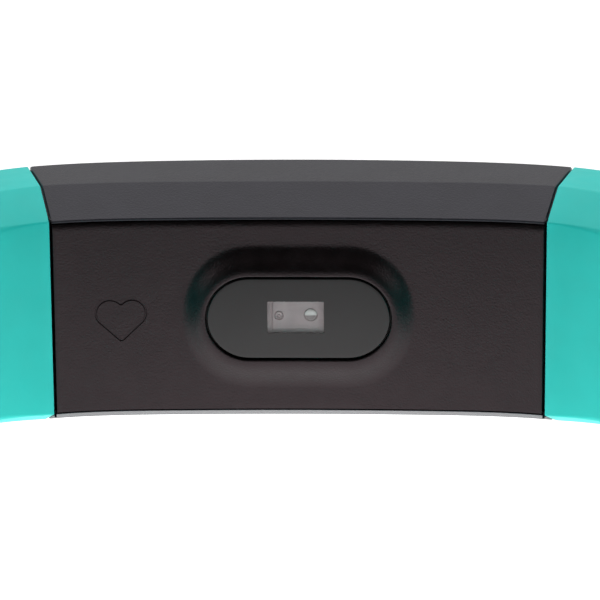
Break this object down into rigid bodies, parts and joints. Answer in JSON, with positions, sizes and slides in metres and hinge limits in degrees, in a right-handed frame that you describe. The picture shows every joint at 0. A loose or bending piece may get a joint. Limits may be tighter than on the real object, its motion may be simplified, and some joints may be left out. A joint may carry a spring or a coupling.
{
  "type": "fitness tracker band",
  "caption": "Slim wrist activity tracker with an optical heart-rate window on its skin side and a curved elastomer strap that closes with a small pin buckle.",
  "frame": {"origin": "middle of the flat crease on the tracker's lower long side, the line the band stands on", "axes": "+Z across the band's width; +X along the tracker towards the buckle strap; +Y out of the display, so the skin side and the straps' open ends face -Y"},
  "size_m": [0.0816, 0.1151, 0.0224],
  "materials": {
    "case_black": "satin black nylon",
    "cover_black": "fine spark-eroded black, faintly brown",
    "adhesive": "foam tape",
    "window_tint": "polished, smoke tinted",
    "mask_ink": "printed black ink",
    "package_grey": "moulded grey",
    "led_lens": "clear dome",
    "photodiode": "clear dome",
    "board_green": "solder mask",
    "flex_amber": "polyimide film",
    "chassis_black": "glass-filled nylon",
    "battery_foil": "laminated foil pouch",
    "tape_yellow": "polyimide tape",
    "screw_steel": "plain",
    "chip_black": "epoxy moulding",
    "shield_can": "tin-plated",
    "antenna_gold": "gold flash",
    "contact_gold": "gold plated",
    "seal_rubber": "silicone o-ring",
    "motor_steel": "drawn can",
    "weight_dark": "sintered tungsten alloy",
    "panel_black": "switched off",
    "glass_black": "black-backed cover glass",
    "insert_black": "glass-filled nylon",
    "pin_steel": "stainless",
    "strap_teal": "matt silicone elastomer",
    "buckle_steel": "satin stainless"
  },
  "bodies": {
    "pod": {"case_frame": "case_black", "back_cover": "cover_black", "cover_seal": "adhesive", "sensor_window": "window_tint", "window_mask": "mask_ink", "window_seal": "adhesive", "sensor_package": "package_grey", "sensor_led": "led_lens", "sensor_photodiode": "photodiode", "sensor_board": "board_green", "sensor_flex": "flex_amber", "chassis": "chassis_black", "battery": "battery_foil", "battery_pad": "tape_yellow", "main_board": "board_green", "board_screws": "screw_steel", "processor": "chip_black", "radio_module": "shield_can", "motion_sensor": "chip_black", "antenna": "antenna_gold", "charge_contacts": "contact_gold", "contact_seals": "seal_rubber", "contact_board": "board_green", "vibration_motor": "motor_steel", "display_panel": "panel_black", "display_flex": "flex_amber", "display_seal": "adhesive", "display_glass": "glass_black", "short_insert": "insert_black", "long_insert": "insert_black", "short_pin": "pin_steel", "long_pin": "pin_steel", "strap_short_root": "strap_teal", "strap_long_root": "strap_teal"},
    "motor_rotor": {"motor_weight": "weight_dark"},
    "short_inner": {"strap_short_inner": "strap_teal"},
    "short_middle": {"strap_short_middle": "strap_teal"},
    "short_end": {"strap_short_end": "strap_teal", "bar_tube": "pin_steel", "bar_spring": "pin_steel"},
    "keeper_ring": {"keeper": "strap_teal"},
    "buckle": {"buckle_frame": "buckle_steel"},
    "tongue": {"buckle_tongue": "buckle_steel"},
    "bar_end": {"bar_tip": "pin_steel"},
    "long_inner": {"strap_long_inner": "strap_teal"},
    "long_middle": {"strap_long_middle": "strap_teal"},
    "long_end": {"strap_long_end": "strap_teal"}
  },
  "joints": [
    {"name": "short_flex_1", "type": "hinge", "parent": "pod", "child": "short_inner", "pos_m": [0.03648, -0.02322, 0.0112], "axis": [0, 0, -1], "range_deg": [-12, 30], "stiffness_Nm_per_rad": 0.02},
    {"name": "short_flex_2", "type": "hinge", "parent": "short_inner", "child": "short_middle", "pos_m": [0.03648, -0.03922, 0.0112], "axis": [0, 0, -1], "range_deg": [-14, 35], "stiffness_Nm_per_rad": 0.02},
    {"name": "short_flex_3", "type": "hinge", "parent": "short_middle", "child": "short_end", "pos_m": [0.03648, -0.05522, 0.0112], "axis": [0, 0, -1], "range_deg": [-14, 35], "stiffness_Nm_per_rad": 0.02},
    {"name": "long_flex_1", "type": "hinge", "parent": "pod", "child": "long_inner", "pos_m": [-0.03648, -0.02322, 0.0112], "axis": [0, 0, 1], "range_deg": [-12, 21], "stiffness_Nm_per_rad": 0.02},
    {"name": "long_flex_2", "type": "hinge", "parent": "long_inner", "child": "long_middle", "pos_m": [-0.03648, -0.04122, 0.0112], "axis": [0, 0, 1], "range_deg": [-14, 24.5], "stiffness_Nm_per_rad": 0.02},
    {"name": "long_flex_3", "type": "hinge", "parent": "long_middle", "child": "long_end", "pos_m": [-0.03648, -0.06022, 0.0112], "axis": [0, 0, 1], "range_deg": [-14, 24.5], "stiffness_Nm_per_rad": 0.02},
    {"name": "keeper_slide", "type": "slide", "parent": "short_middle", "child": "keeper_ring", "axis": [0, 1, 0], "range_m": [-0.0015, 0.0035]},
    {"name": "buckle_turn", "type": "hinge", "parent": "short_end", "child": "buckle", "pos_m": [0.03648, -0.06822, 0.0112], "axis": [0, 0, 1], "range_deg": [-30, 50]},
    {"name": "tongue_turn", "type": "hinge", "parent": "buckle", "child": "tongue", "pos_m": [0.03648, -0.06822, 0.0112], "axis": [0, 0, 1], "range_deg": [0, 70]},
    {"name": "bar_tip_slide", "type": "slide", "parent": "short_end", "child": "bar_end", "axis": [0, 0, 1], "range_m": [-0.0012, 0], "stiffness_N_per_m": 600, "deforming": ["bar_spring"]},
    {"name": "motor_spin", "type": "hinge", "parent": "pod", "child": "motor_rotor", "pos_m": [0.0184, -0.0004, 0.0112], "axis": [0, 0, 1], "continuous": true}
  ],
  "couplings": [
    {"joint": "short_flex_2", "follows": "short_flex_1", "ratio": 1.1667},
    {"joint": "short_flex_3", "follows": "short_flex_1", "ratio": 1.1667},
    {"joint": "long_flex_2", "follows": "long_flex_1", "ratio": 1.1667},
    {"joint": "long_flex_3", "follows": "long_flex_1", "ratio": 1.1667}
  ]
}
